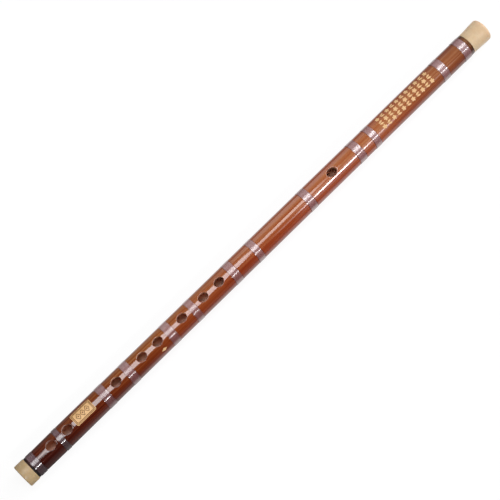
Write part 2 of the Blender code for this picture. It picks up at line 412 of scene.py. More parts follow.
def add_hole(shape, plan, outer_rings, bore_rings):
    """Wall, rounded rim and patches of one hole."""
    side = plan["side"]
    patch = patch_size(plan)
    middle = 0 if side > 0 else SEGMENTS // 2
    outer_edge = boundary(outer_rings, plan["outer_ring"], *patch["outer"], middle, side)
    bore_edge = boundary(bore_rings, plan["bore_ring"], *patch["bore"], middle, side)
    count = len(outer_edge)

    def outer_height(x, y):
        return AXIS_Z + side * (math.sqrt(natural_radius(x) ** 2 - y ** 2) - worn_depth(plan, x, y))

    def bore_height(x, y):
        return AXIS_Z + side * math.sqrt(BORE_RADIUS ** 2 - y ** 2)

    def rim_loop(angle):
        """Loop at an angle down the rim's arc."""
        inward = RIM_SPREAD - math.sin(angle)
        grow_across = [radius * inward for radius in RIM_RADII_ACROSS]
        places = oval(plan, plan["rim_radius"] * inward, grow_across, count)
        outline = []
        for step, (x, y) in enumerate(places):
            share = math.sin(2 * math.pi * step / count) ** 2
            across = RIM_RADII_ACROSS[0 if y > 0 else 1]
            radius = plan["rim_radius"] * (1 - share) + across * share
            outline.append((x, y, outer_height(x, y) - side * radius * (1 - math.cos(angle))))
        return shape.loop(outline)

    loops = [rim_loop(math.radians(RIM_ARC * step / RIM_STEPS)) for step in range(RIM_STEPS + 1)]
    add_patch(shape, loops[0], outer_edge, PATCH_RINGS, outer_height)
    wall = oval(plan, 0.0, (0.0, 0.0), count)
    bore_wall = shape.loop([(x, y, bore_height(x, y) + side * BORE_EDGE) for x, y in wall])
    rim = oval(plan, BORE_EDGE, (BORE_EDGE, BORE_EDGE), count)
    bore_rim = shape.loop([(x, y, bore_height(x, y)) for x, y in rim])
    middle_wall = shape.loop([tuple((a + b) / 2 for a, b in zip(shape.points[low], shape.points[high]))
                              for low, high in zip(loops[-1], bore_wall)])
    loops += [middle_wall, bore_wall, bore_rim]
    for high, low in zip(loops, loops[1:]):
        shape.strip(high, low)
    add_patch(shape, bore_rim, bore_edge, BORE_PATCH_RINGS, bore_height)


def make_body():
    """Closed tube of bamboo: turned grooves, tenons, bore and drilled holes with rounded rims."""
    plans = hole_plans()
    shape = Shape()
    outer = outer_stations(plans)
    bore = bore_stations(plans)
    outer_rings = [ring_at(shape, x, radius) for x, radius in outer]
    bore_rings = [ring_at(shape, x, radius) for x, radius in bore]
    for stations, rings, surface in ((outer, outer_rings, "outer"), (bore, bore_rings, "bore")):
        taken = patch_cells(plans, stations, surface)
        for ring in range(len(rings) - 1):
            for cell in range(SEGMENTS):
                if (ring, cell) not in taken:
                    after = (cell + 1) % SEGMENTS
                    shape.faces.append((rings[ring][cell], rings[ring][after],
                                        rings[ring + 1][after], rings[ring + 1][cell]))
    shape.strip(outer_rings[0], bore_rings[0])
    shape.strip(outer_rings[-1], bore_rings[-1])
    for plan in plans:
        add_hole(shape, plan, outer_rings, bore_rings)
    drop_unused(shape)
    make_piece("bamboo_tube", shape, bamboo_finish(), node="bamboo_body")


def drop_unused(shape):
    """Removes the grid points that lie inside the patches."""
    used = sorted({corner for face in shape.faces for corner in face})
    place = {corner: index for index, corner in enumerate(used)}
    shape.points = [shape.points[corner] for corner in used]
    shape.faces = [tuple(place[corner] for corner in face) for face in shape.faces]


# Thread bindings
def make_binding(node, finish):
    """One thread wound side by side in a helix, with drawn-in shoulders and its end at the back."""
    low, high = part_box(node)
    width = high.x - low.x
    turns = round(width / THREAD_PITCH) - 1
    pitch = width / (turns + 1)
    rows = turns * THREAD_ROWS
    local = natural_radius((low.x + high.x) / 2)
    top = BINDING_RADIUS - TUBE_RADIUS + local
    seat = local - BINDING_SINK
    shape = Shape()

    def radius_at(row, x):
        ridge = 0.5 * THREAD_RIDGE * math.cos(2 * math.pi * row / THREAD_ROWS)
        if node in LACQUER_RUNS:
            ridge *= ease((high.x - LACQUER_RUN_WIDTH - x) / LACQUER_RUN_FADE)
        edge = min(x - low.x, high.x - x) / SHOULDER_WIDTH
        shoulder = SHOULDER_DROP * (1 - math.sqrt(1 - (1 - limited(edge)) ** 2))
        return top - THREAD_RIDGE / 2 + ridge - shoulder

    def place(row, step, radius=None):
        x = low.x + pitch * (row / THREAD_ROWS + step / SEGMENTS)
        angle = math.radians(SEAM_ANGLE) + 2 * math.pi * step / SEGMENTS
        return on_tube(x, angle, radius_at(row, x) if radius is None else radius)

    thread = [shape.loop([place(row, step) for step in range(SEGMENTS)]) for row in range(rows + 1)]
    last = shape.loop([place(row, SEGMENTS) for row in range(rows - THREAD_ROWS + 1, rows + 1)])

    def outer(row, step):
        if step < SEGMENTS:
            return thread[row][step]
        after = row + THREAD_ROWS
        return thread[after][0] if after <= rows else last[after - rows - 1]

    start = shape.loop([place(0, step, seat) for step in range(SEGMENTS + 1)])
    end = shape.loop([place(rows, step, seat) for step in range(SEGMENTS + 1)])
    turns_round = [[outer(row, step) for step in range(SEGMENTS + 1)] for row in range(rows + 1)]
    lanes = [start, *turns_round, end]
    for first, second in zip(lanes, lanes[1:]):
        shape.quads(first, second)
    shape.quads(start[1:-1], end[1:-1])
    shape.faces.append((start[0], start[-1], end[0], end[1], start[1]))
    shape.faces.append((start[-2], start[-1], end[0], end[-1], end[-2]))
    shape.faces.append((start[0], *[thread[row][0] for row in range(THREAD_ROWS + 1)], start[-1]))
    shape.faces.append((end[0], thread[rows][0], *last, end[-1]))
    make_piece("thread_" + node, shape, finish, node=node, sharp_angle=60)


# Turned pieces
def arc(centre_x, centre_r, radius, start, end, steps):
    """Points of an arc in the (x, r) plane between two angles, with both its ends."""
    points = []
    for step in range(steps + 1):
        angle = math.radians(start + (end - start) * step / steps)
        points.append((centre_x + radius * math.cos(angle), centre_r + radius * math.sin(angle)))
    return points


def turned(outline, closed=True):
    """Shape turned round the axis from (x, r) points. An open outline ends on the axis."""
    shape = Shape()
    inside = outline if closed else outline[1:-1]
    rings = [ring_at(shape, x, radius) for x, radius in inside]
    for first, second in zip(rings, rings[1:]):
        shape.strip(first, second)
    if closed:
        shape.strip(rings[-1], rings[0])
    else:
        shape.fan(rings[0], (outline[0][0], 0.0, AXIS_Z))
        shape.fan(rings[-1][::-1], (outline[-1][0], 0.0, AXIS_Z))
    return shape


TAIL_CAP_LIP = 0.0030
TAIL_CAP_WEAR = 0.00010
TAIL_CAP_ROUNDING = 0.0010
HEAD_CAP_LIP = 0.0045
HEAD_CAP_ROUNDING = 0.0018
HEAD_CAP_NECK_INSET = 0.0004
HEAD_CAP_RIM_FROM_END = 0.0026
CAP_EDGE = 0.00025
CAP_PLAY = 0.0001
CAP_SOCKET = TENON_RADIUS + CAP_PLAY
CAP_STEPS = 6
CAP_EDGE_STEPS = 2
FLARE_STEPS = 14
CORK_ROUNDING = 0.0006
CORK_STEPS = 4
# Where a ring divides the cork's ends, as a share of its radius
CORK_END_RING = 0.5


def make_tail_cap(finish):
    radius = outer_radius("tail_cap") - TAIL_CAP_WEAR
    edge = TAIL_CAP_ROUNDING
    lip = TAIL_END + TAIL_CAP_LIP
    outline = arc(TAIL_END + edge, radius - edge, edge, 180, 90, CAP_STEPS)
    outline += arc(TAIL_MOUTH - CAP_EDGE, radius - CAP_EDGE, CAP_EDGE, 90, 0, CAP_EDGE_STEPS)
    outline += [(TAIL_MOUTH, CAP_SOCKET), (lip, CAP_SOCKET), (lip, BORE_RADIUS)]
    outline += arc(TAIL_END + CAP_EDGE, BORE_RADIUS + CAP_EDGE, CAP_EDGE, 270, 180, CAP_EDGE_STEPS)
    make_piece("tail_ring", turned(outline), finish, node="tail_cap")


def make_head_cap(finish):
    rim = outer_radius("head_cap")
    neck = TUBE_RADIUS - HEAD_CAP_NECK_INSET
    edge = HEAD_CAP_ROUNDING
    lip = HEAD_END - HEAD_CAP_LIP
    rim_x = HEAD_END - HEAD_CAP_RIM_FROM_END
    outline = [(HEAD_MOUTH, neck - CAP_EDGE)]
    for step in range(FLARE_STEPS + 1):
        share = step / FLARE_STEPS
        x = HEAD_MOUTH + CAP_EDGE + (rim_x - HEAD_MOUTH - CAP_EDGE) * share
        outline.append((x, neck + (rim - neck) * ease(share)))
    outline += arc(HEAD_END - edge, rim - edge, edge, 90, 0, CAP_STEPS)
    outline += arc(HEAD_END - CAP_EDGE, BORE_RADIUS + CAP_EDGE, CAP_EDGE, 360, 270, CAP_EDGE_STEPS)
    outline += [(lip, BORE_RADIUS), (lip, CAP_SOCKET), (HEAD_MOUTH, CAP_SOCKET)]
    make_piece("head_ring", turned(outline), finish, node="head_cap")


def make_cork(finish):
    low, high = CORK_BOX
    radius = BORE_RADIUS - CAP_PLAY
    edge = CORK_ROUNDING
    outline = [(low.x, 0.0), (low.x, radius * CORK_END_RING)]
    outline += arc(low.x + edge, radius - edge, edge, 180, 90, CORK_STEPS)
    outline += arc(high.x - edge, radius - edge, edge, 90, 0, CORK_STEPS)
    outline += [(high.x, radius * CORK_END_RING), (high.x, 0.0)]
    make_piece("cork_plug", turned(outline, closed=False), finish, node="cork_stopper",
               body="stopper")


# Painted ornament
PAINT_THICKNESS = 0.00005
PAINT_SINK = 0.00006


def over_tube(x, angle, aside, lift):
    """Point over the bamboo, aside by an arc's length from an angle in degrees."""
    radius = natural_radius(x)
    return on_tube(x, math.radians(angle) + aside / radius, radius + lift)


def stamp(shape, outline, centre_x, centre_angle, turn=0.0, lift=PAINT_THICKNESS, rings=2):
    """Adds a thin raised patch that follows the tube. The outline is (along, across) from its middle."""
    cos_turn = math.cos(math.radians(turn))
    sin_turn = math.sin(math.radians(turn))

    def place(along, across, raise_by):
        return over_tube(centre_x + along * cos_turn - across * sin_turn, centre_angle,
                         along * sin_turn + across * cos_turn, raise_by)

    def nested(raise_by):
        shares = [ring / rings for ring in range(rings, 0, -1)]
        return [shape.loop([place(a * share, b * share, raise_by) for a, b in outline]) for share in shares]

    tops = nested(lift)
    unders = nested(-PAINT_SINK)
    for loops in (tops, unders):
        for first, second in zip(loops, loops[1:]):
            shape.strip(first, second)
    shape.strip(tops[0], unders[0])
    shape.fan(tops[-1], place(0.0, 0.0, lift))
    shape.fan(unders[-1][::-1], place(0.0, 0.0, -PAINT_SINK))


def blossom(petals, radius, waist=0.55, steps=6, roundness=0.7):
    """Outline of a small flower."""
    points = []
    for step in range(petals * steps):
        angle = 2 * math.pi * step / (petals * steps)
        reach = radius * (waist + (1 - waist) * abs(math.cos(petals * angle / 2)) ** roundness)
        points.append((reach * math.cos(angle), reach * math.sin(angle)))
    return points


def leaf(length, width, steps=6, roundness=0.8):
    """Outline of a pointed leaf that lies along the tube, with its middle at the origin."""
    side = []
    for step in range(steps + 1):
        share = step / steps
        side.append((length * (share - 0.5), width / 2 * math.sin(math.pi * share) ** roundness))
    return side + [(along, -across) for along, across in side[-2:0:-1]]


def densified(path, spacing):
    """A closed path with points added along its straight stretches."""
    points = []
    for first, second in zip(path, path[1:] + path[:1]):
        steps = max(1, math.ceil(math.dist(first, second) / spacing))
        points += [(first[0] + (second[0] - first[0]) * step / steps,
                    first[1] + (second[1] - first[1]) * step / steps) for step in range(steps)]
    return points


def rounded_rectangle(length, width, corner, steps=4, spacing=0.0015):
    """Outline with rounded corners and enough points on its straight sides to follow the tube."""
    points = []
    for number, (sign_x, sign_y) in enumerate(((1, 1), (-1, 1), (-1, -1), (1, -1))):
        for step in range(steps + 1):
            angle = math.radians(90 * (number + step / steps))
            points.append((sign_x * (length / 2 - corner) + corner * math.cos(angle),
                           sign_y * (width / 2 - corner) + corner * math.sin(angle)))
    return densified(points, spacing)


def band(shape, path, width, centre_x, centre_angle, lift, spacing=0.0008):
    """Adds a thin raised line along a closed path of (along, across) points."""
    dense = densified(path, spacing)
    sides = []
    for index, (along, across) in enumerate(dense):
        before = dense[index - 1]
        after = dense[(index + 1) % len(dense)]
        step_x = after[0] - before[0]
        step_y = after[1] - before[1]
        size = math.hypot(step_x, step_y) or 1.0
        aside = (-step_y / size * width / 2, step_x / size * width / 2)
        sides.append(((along + aside[0], across + aside[1]), (along - aside[0], across - aside[1])))

    corners = []
    for edge, raise_by in ((0, lift), (1, lift), (1, -PAINT_SINK), (0, -PAINT_SINK)):
        corners.append(shape.loop([over_tube(centre_x + side[edge][0], centre_angle, side[edge][1], raise_by)
                                   for side in sides]))
    for first, second in zip(corners, corners[1:] + corners[:1]):
        shape.strip(first, second)


# Framed panel near the tail, with a generic lattice
PANEL_FROM_TAIL = (0.0615, 0.0829)
PANEL_ANGLE = 7.0
PANEL_WIDTH = 0.0121
PANEL_CORNER = 0.0013
PANEL_LIFT = 0.00010
PANEL_RINGS = 7
PANEL_LINE = 0.00055
PANEL_LINE_LIFT = 0.00016
PANEL_LINE_INSETS = (0.0008, 0.0017)
PANEL_LINE_CORNER = PANEL_CORNER * 0.6
# Lattice of three lozenges: half length, half width, pitch and the flower in each
LATTICE_HALF_LENGTH = 0.0021
LATTICE_HALF_WIDTH = 0.003024
LATTICE_PITCH = 0.00483
LATTICE_FLOWER = 0.0008


def make_panel(ground, line):
    centre_x = TAIL_END + sum(PANEL_FROM_TAIL) / 2
    length = PANEL_FROM_TAIL[1] - PANEL_FROM_TAIL[0]
    plate = Shape()
    stamp(plate, rounded_rectangle(length, PANEL_WIDTH, PANEL_CORNER), centre_x, PANEL_ANGLE,
          lift=PANEL_LIFT, rings=PANEL_RINGS)
    make_piece("panel_ground", plate, ground, sharp_angle=50)
    lines = Shape()
    for inset in PANEL_LINE_INSETS:
        path = rounded_rectangle(length - 2 * inset, PANEL_WIDTH - 2 * inset, PANEL_LINE_CORNER)
        band(lines, path, PANEL_LINE, centre_x, PANEL_ANGLE, PANEL_LINE_LIFT)
    for number in (-1, 0, 1):
        middle = number * LATTICE_PITCH
        lozenge = [(middle - LATTICE_HALF_LENGTH, 0.0), (middle, LATTICE_HALF_WIDTH),
                   (middle + LATTICE_HALF_LENGTH, 0.0), (middle, -LATTICE_HALF_WIDTH)]
        band(lines, lozenge, PANEL_LINE, centre_x, PANEL_ANGLE, PANEL_LINE_LIFT)
        stamp(lines, blossom(4, LATTICE_FLOWER), centre_x + middle, PANEL_ANGLE,
              lift=PANEL_LINE_LIFT, rings=1)
    make_piece("panel_lattice", lines, line, sharp_angle=50)


# Rows of small gilt flowers and leaves near the head, and a lozenge beside the finger holes
ROWS_FROM_TAIL = (0.4275, 0.4930)
ROW_ANGLES = (31.8, 3.9, -22.4)
ROW_PITCH = 0.0060
FLOWER_RADIUS = 0.0022
FLOWER_TURN = 36
LEAF_SIZE = (0.0044, 0.0017)
LEAF_ASIDE = 0.001054
LEAF_TURN = 12
LOZENGE_FROM_TAIL = 0.1580
LOZENGE_ANGLE = -50.0
LOZENGE_SIZE = (0.0058, 0.0030)


def make_gilding(gilt):
    shape = Shape()
    start, end = ROWS_FROM_TAIL
    count = round((end - start) / ROW_PITCH)
    for row, angle in enumerate(ROW_ANGLES):
        for number in range(count):
            x = TAIL_END + start + (end - start) * (number + 0.5) / count
            if (number + row) % 2 == 0:
                stamp(shape, blossom(5, FLOWER_RADIUS), x, angle, turn=FLOWER_TURN * (number % 2))
            else:
                for side in (-1, 1):
                    aside = math.degrees(side * LEAF_ASIDE / TUBE_RADIUS)
                    stamp(shape, leaf(*LEAF_SIZE), x, angle + aside, turn=side * LEAF_TURN)
    lozenge = [(LOZENGE_SIZE[0] / 2, 0.0), (0.0, LOZENGE_SIZE[1] / 2),
               (-LOZENGE_SIZE[0] / 2, 0.0), (0.0, -LOZENGE_SIZE[1] / 2)]
    stamp(shape, lozenge, TAIL_END + LOZENGE_FROM_TAIL, LOZENGE_ANGLE)
    make_piece("gilt_ornament", shape, gilt, sharp_angle=50)


# Node trees
class Graph:
    """Short names for making a node tree."""

    def __init__(self, tree):
        self.nodes = tree.nodes
        self.links = tree.links

    def feed(self, socket, value):
        if isinstance(value, bpy.types.NodeSocket):
            self.links.new(value, socket)
        else:
            socket.default_value = value

    def fill(self, node, inputs):
        """Feeds a node's sockets, which are named with _ for each space."""
        for name, value in inputs.items():
            self.feed(node.inputs[name.replace("_", " ")], value)

    def add(self, kind, **inputs):
        node = self.nodes.new("ShaderNode" + kind)
        self.fill(node, inputs)
        return node

    def math(self, operation, *values, clamp=False):
        node = self.add("Math")
        node.operation = operation
        node.use_clamp = clamp
        for socket, value in zip(node.inputs, values):
            self.feed(socket, value)
        return node.outputs[0]

    def dot(self, first, second):
        """Sum of the products of two pairs."""
        return self.math("ADD", self.math("MULTIPLY", first[0], second[0]),
                         self.math("MULTIPLY", first[1], second[1]))

    def split(self, vector):
        return tuple(self.add("SeparateXYZ", Vector=vector).outputs)

    def span(self, value, low, high, to_low=0.0, to_high=1.0, smooth=False):
        node = self.add("MapRange", Value=value, From_Min=low, From_Max=high, To_Min=to_low, To_Max=to_high)
        node.interpolation_type = "SMOOTHSTEP" if smooth else "LINEAR"
        return node.outputs["Result"]


class Material(Graph):
    """Material on its object's own coordinates, which every texture and fade reads."""

    def __init__(self, name):
        self.material = bpy.data.materials.new(name)
        self.material.use_nodes = True
        super().__init__(self.material.node_tree)
        self.shader = self.nodes["Principled BSDF"]
        self.coordinates = self.add("TexCoord").outputs["Object"]

    def noise(self, stretch, scale, detail, roughness, distortion=0.0):
        stretched = self.add("Mapping", Vector=self.coordinates, Scale=stretch).outputs[0]
        return self.add("TexNoise", Vector=stretched, Scale=scale, Detail=detail, Roughness=roughness,
                        Distortion=distortion).outputs["Fac"]

    def ramp(self, value, stops):
        """Colour ramp from (place, (r, g, b)) stops."""
        node = self.add("ValToRGB", Fac=value)
        elements = node.color_ramp.elements
        while len(elements) < len(stops):
            elements.new(1.0)
        for element, (place, colour) in zip(elements, stops):
            element.position = place
            element.color = (*colour, 1.0)
        return node.outputs["Color"]

    def mix(self, share, first, second, blend="MIX"):
        node = self.add("Mix")
        node.data_type = "RGBA"
        node.blend_type = blend
        for socket, value in zip((node.inputs[0], node.inputs[6], node.inputs[7]), (share, first, second)):
            self.feed(socket, (*value, 1.0) if isinstance(value, tuple) else value)
        return node.outputs[2]

    def stained(self, colour, depth):
        """What a depth of stain makes of the colour under one full depth, as a share of the unstained one. The
        depth also carries painted light and shade.
        """
        return self.add("Gamma", Color=colour, Gamma=depth).outputs["Color"]

    def bump(self, height, distance, strength):
        return self.add("Bump", Height=height, Distance=distance, Strength=strength).outputs["Normal"]

    def axes(self):
        """X, and Y and Z measured from the tube's axis."""
        x, y, z = self.split(self.coordinates)
        return x, y, self.math("SUBTRACT", z, AXIS_Z)

    def radius(self):
        from_axis = self.axes()[1:]
        return self.math("SQRT", self.dot(from_axis, from_axis))

    def tilt(self):
        """How far the surface leans from the radial direction: 0 on the plain tube, 1 on a hole's wall."""
        lean = self.split(self.add("TexCoord").outputs["Normal"])
        upright = self.dot(self.axes()[1:], lean[1:])
        return self.math("SUBTRACT", 1.0, self.math("DIVIDE", upright, self.radius()), clamp=True)

    def set(self, **values):
        self.fill(self.shader, values)


# Textures: stretch of the coordinates, scale, detail, roughness and distortion
FIBRE = ((0.012, 1.0, 1.0), 1300.0, 3.0, 0.6)
STREAK = ((0.010, 1.0, 1.0), 520.0, 3.0, 0.6)
DARK_LINE = ((0.016, 1.0, 1.0), 900.0, 2.0, 0.5)
STRAND = ((6.0, 1.0, 1.0), 420.0, 3.0, 0.6)
CLOUD = ((1.0, 1.0, 1.0), 260.0, 4.0, 0.6, 0.4)
TURNING_MARK = ((1.0, 0.02, 0.02), 2200.0, 2.0, 0.5)
CORK_GRAIN = ((1.0, 1.0, 1.0), 900.0, 5.0, 0.65, 0.6)
PAINT_COVER = ((1.0, 1.0, 1.0), 1800.0, 3.0, 0.6)
# Most of a texture's values lie in this range
TEXTURE_RANGE = (0.3, 0.7)

# Colour of the bamboo under one full depth of stain, by the share along the flute. It darkens towards the tail
# partly with the stain and partly as painted shade of the light falling off there. It is nearly black in the
# strip by the tail cap and darker again by the head cap.
TUBE_STAIN_AND_SHADE = (
    (0.000, (0.018, 0.005, 0.004)),
    (0.021, (0.020, 0.005, 0.004)),
    (0.032, (0.078, 0.010, 0.004)),
    (0.100, (0.130, 0.019, 0.0045)),
    (0.163, (0.188, 0.030, 0.0055)),
    (0.250, (0.262, 0.051, 0.0098)),
    (0.330, (0.340, 0.068, 0.0150)),
    (0.405, (0.365, 0.077, 0.0205)),
    (0.470, (0.380, 0.075, 0.0215)),
    (0.530, (0.400, 0.076, 0.0200)),
    (0.640, (0.430, 0.086, 0.0240)),
    (0.760, (0.420, 0.090, 0.0260)),
    (0.895, (0.300, 0.072, 0.0240)),
    (0.940, (0.255, 0.060, 0.0200)),
    (0.963, (0.095, 0.036, 0.0150)),
)
BARE_BAMBOO = (0.72, 0.48, 0.28)
# Painted light and shade round the tube: the stain is drawn lightest on the side turned to the light and deepest
# away from it. Columns: the share along the flute, that lit side's angle as a share of
# 90 degrees, and the depth there
PAINTED_LIT_SIDE = (
    (0.05, 0.34, 0.68),
    (0.15, 0.34, 0.61),
    (0.24, 0.34, 0.51),
    (0.33, 0.34, 0.54),
    (0.42, 0.30, 0.64),
    (0.47, 0.24, 0.58),
    (0.55, 0.16, 0.56),
    (0.64, 0.08, 0.64),
    (0.76, 0.0, 0.60),
    (0.90, 0.0, 0.55),
)
# Depth of the stain away from the lit side, which paints shade there, and how narrowly the painted light gathers
# on the lit side
SHADED_SIDE_DEPTH = 1.24
LIT_SIDE_NARROWNESS = 2.5
STAIN_UNEVEN = 0.18
DARK_LINE_RANGE = (0.58, 0.72)
DARK_LINE_DEPTH = 0.40
# Depths in the wall between which the stain gives way to bare wood
STAIN_ENDS = (0.0014, 0.0008)
BARE_WOOD = ((0.3, (0.77, 0.37, 0.205)), (0.7, (0.82, 0.41, 0.235)))
# Painted shade in the holes: a hole's wall is painted darker than the bore. The shade comes in between two
# heights over the bore.
HOLE_WALL_SHADE = 0.55
HOLE_WALL_FADE = (0.0003, 0.0015)
LACQUER_IOR = 1.65
LACQUER_ROUGHNESS = (0.05, 0.08)
# What bare wood adds to the roughness, the share of it on a hole's rim, and the tilts where that starts
# and is full
BARE_ROUGHNESS = 0.45
RIM_MATT = 0.6
RIM_TILT = (0.01, 0.06)
FIBRE_IN_GRAIN = 0.35
GRAIN_BUMP = (0.00002, 0.03)


def stain_and_shade_depth(graph):
    """Depth of the stain round the tube: least on the lit side, as painted light, and most on the far side, as
    painted shade.
    """
    x, y, z = graph.axes()
    stops = [(share, (turn, lit_depth, 0.0)) for share, turn, lit_depth in PAINTED_LIT_SIDE]
    lit_side_ramp = graph.ramp(graph.span(x, TAIL_END, HEAD_END), stops)
    turn_share, lit_side_depth = graph.add("SeparateColor", Color=lit_side_ramp).outputs[:2]
    angle = graph.math("MULTIPLY", turn_share, math.radians(90))
    aside = graph.dot((y, z), (graph.math("SINE", angle), graph.math("COSINE", angle)))
    towards = graph.math("POWER", graph.math("DIVIDE", aside, graph.radius(), clamp=True), LIT_SIDE_NARROWNESS)
    change = graph.math("SUBTRACT", lit_side_depth, SHADED_SIDE_DEPTH)
    return graph.math("MULTIPLY_ADD", towards, change, SHADED_SIDE_DEPTH)


def bamboo_finish():
    """Stained bamboo under clear lacquer outside, unstained in the bore. Its colour carries painted shade:
    darker towards the tail, on the side turned from the light and on the holes' walls.
    """
    graph = Material("stained_bamboo_painted_shade")
    along = graph.span(graph.axes()[0], TAIL_END, HEAD_END)
    # The stain colours along the flute also hold painted shade of light falling off towards the tail
    stain = [(place, tuple(channel / own for channel, own in zip(colour, BARE_BAMBOO)))
             for place, colour in TUBE_STAIN_AND_SHADE]
    fibre = graph.noise(*FIBRE)
    streak = graph.noise(*STREAK)
    # Painted light and shade round the tube, to which the stain's own unevenness and dark lines are added
    depth = stain_and_shade_depth(graph)
    for uneven in (graph.span(fibre, *TEXTURE_RANGE, -STAIN_UNEVEN, STAIN_UNEVEN),
                   graph.span(streak, *TEXTURE_RANGE, -STAIN_UNEVEN, STAIN_UNEVEN),
                   graph.span(graph.noise(*DARK_LINE), *DARK_LINE_RANGE, 0.0, DARK_LINE_DEPTH)):
        depth = graph.math("ADD", depth, uneven)
    outside = graph.mix(1.0, graph.stained(graph.ramp(along, stain), depth), BARE_BAMBOO, blend="MULTIPLY")
    radius = graph.radius()
    # Painted shade on the holes' walls, laid over the unstained wood
    shade = graph.span(radius, *(BORE_RADIUS + height for height in HOLE_WALL_FADE), 1.0, HOLE_WALL_SHADE)
    bare_wood_and_shade = graph.mix(1.0, graph.ramp(streak, BARE_WOOD), shade, blend="MULTIPLY")
    inside = graph.span(radius, *(TUBE_RADIUS - depth_in for depth_in in STAIN_ENDS), 1.0, 0.0, smooth=True)
    matt = graph.math("MAXIMUM", inside, graph.span(graph.tilt(), *RIM_TILT, 0.0, RIM_MATT))
    rough = graph.math("MULTIPLY_ADD", matt, BARE_ROUGHNESS,
                       graph.span(fibre, *TEXTURE_RANGE, *LACQUER_ROUGHNESS))
    grain = graph.math("MULTIPLY_ADD", fibre, FIBRE_IN_GRAIN, streak)
    graph.set(Base_Color=graph.mix(inside, outside, bare_wood_and_shade), Roughness=rough,
              Normal=graph.bump(grain, *GRAIN_BUMP), IOR=LACQUER_IOR, Specular_IOR_Level=1.0)
    return graph.material


# Colour of the thread under one full depth of stain, and its gloss, at a share of the flute's length. Towards
# the tail the colours darken, partly over the dark bamboo and partly as painted shade of light falling off.
THREAD_TINTS_AND_SHADE = (
    (0.00, (0.098, 0.038, 0.046), 0.50),
    (0.09, (0.112, 0.040, 0.044), 0.48),
    (0.18, (0.275, 0.095, 0.090), 0.40),
    (0.33, (0.350, 0.118, 0.102), 0.38),
    (0.40, (0.370, 0.128, 0.112), 0.42),
    (0.46, (0.395, 0.140, 0.122), 0.50),
    (0.52, (0.400, 0.148, 0.136), 0.62),
    (0.80, (0.402, 0.153, 0.142), 0.56),
    (1.00, (0.258, 0.104, 0.106), 0.40),
)
THREAD_UNEVEN = 0.12
THREAD_ROUGHNESS = 0.25
THREAD_IOR = 2.8
THREAD_COAT_ROUGHNESS = 0.05
THREAD_COAT_IOR = 1.6
LACQUER_RUN_ROUGHNESS = 0.14
# A quarter turn lays the stretched gloss along the tube
QUARTER_TURN = 0.25


def thread_tint_and_shade(x):
    """Colour and gloss between the two nearest tints."""
    share = (x - TAIL_END) / (HEAD_END - TAIL_END)
    for (low, low_tint_and_shade, low_gloss), (high, high_tint_and_shade, high_gloss) in zip(THREAD_TINTS_AND_SHADE, THREAD_TINTS_AND_SHADE[1:]):
        if share <= high:
            part = (share - low) / (high - low)
            tint_and_shade = tuple(a + (b - a) * part for a, b in zip(low_tint_and_shade, high_tint_and_shade))
            return tint_and_shade, low_gloss + (high_gloss - low_gloss) * part
    return THREAD_TINTS_AND_SHADE[-1][1:]


def thread_finish(node):
    """Fine mauve thread soaked in clear lacquer. It is darker towards the tail, partly over the dark bamboo and
    partly as painted shade, and darker on the side turned from the light, which is painted shade.

    Each strand is far finer than a ridge of the mesh, so a stretched gloss spreads light along the tube.
    """
    graph = Material("thread_of_" + node)
    low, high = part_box(node)
    tint_and_shade, gloss = thread_tint_and_shade(low.x)
    uneven = graph.span(graph.noise(*STRAND), *TEXTURE_RANGE, THREAD_UNEVEN, -THREAD_UNEVEN)
    # The same painted light and shade round the tube as on the bamboo
    depth = graph.math("ADD", stain_and_shade_depth(graph), uneven)
    rough = THREAD_ROUGHNESS
    if node in LACQUER_RUNS:
        start = high.x - LACQUER_RUN_WIDTH
        rough = graph.span(graph.axes()[0], start, start + LACQUER_RUN_FADE,
                           THREAD_ROUGHNESS, LACQUER_RUN_ROUGHNESS)
    around = graph.add("Tangent")
    around.direction_type = "RADIAL"
    around.axis = "X"
    graph.set(Base_Color=graph.stained((*tint_and_shade, 1.0), depth), Roughness=rough, IOR=THREAD_IOR,
              Specular_IOR_Level=gloss, Tangent=around.outputs["Tangent"], Anisotropic=1.0,
              Anisotropic_Rotation=QUARTER_TURN, Coat_Weight=1.0, Coat_IOR=THREAD_COAT_IOR,
              Coat_Roughness=THREAD_COAT_ROUGHNESS)
    return graph.material


# Light and dark colour of each cap's clouded resin. The tail cap has the head cap's resin painted darker, as
# painted shade of light falling off towards the tail.
SHADED_TAIL_RESIN = ((0.62, 0.45, 0.25), (0.53, 0.38, 0.20))
HEAD_RESIN = ((0.86, 0.635, 0.405), (0.79, 0.555, 0.335))
RESIN_ROUGHNESS = (0.26, 0.36)
RESIN_CONTRAST = (0.35, 0.65)
CLOUD_SHARE = 0.8
RESIN_SUBSURFACE = 0.25
RESIN_SCATTER = (0.004, 0.0025, 0.0015)
FAINT_BUMP = (0.00002, 0.4)


def resin_finish(name, light, dark):
    """Polished cast cap with faint clouds and turning marks."""
    graph = Material(name)
    marks = graph.noise(*TURNING_MARK)
    blended = graph.dot((graph.noise(*CLOUD), marks), (CLOUD_SHARE, 1 - CLOUD_SHARE))
    colour = graph.ramp(blended, tuple(zip(RESIN_CONTRAST, (dark, light))))
    graph.set(Base_Color=colour, Roughness=graph.span(marks, *TEXTURE_RANGE, *RESIN_ROUGHNESS),
              Normal=graph.bump(blended, *FAINT_BUMP), Subsurface_Weight=RESIN_SUBSURFACE,
              Subsurface_Radius=RESIN_SCATTER, Subsurface_Scale=1.0)
    return graph.material


CORK_COLOURS = ((0.30, (0.22, 0.115, 0.050)), (0.45, (0.36, 0.21, 0.10)), (0.70, (0.46, 0.30, 0.16)))
CORK_BUMP = (0.0001, 0.4)
CORK_ROUGHNESS = 0.85


def cork_finish():
    graph = Material("cork")
    grain = graph.noise(*CORK_GRAIN)
    graph.set(Base_Color=graph.ramp(grain, CORK_COLOURS), Roughness=CORK_ROUGHNESS,
              Normal=graph.bump(grain, *CORK_BUMP))
    return graph.material


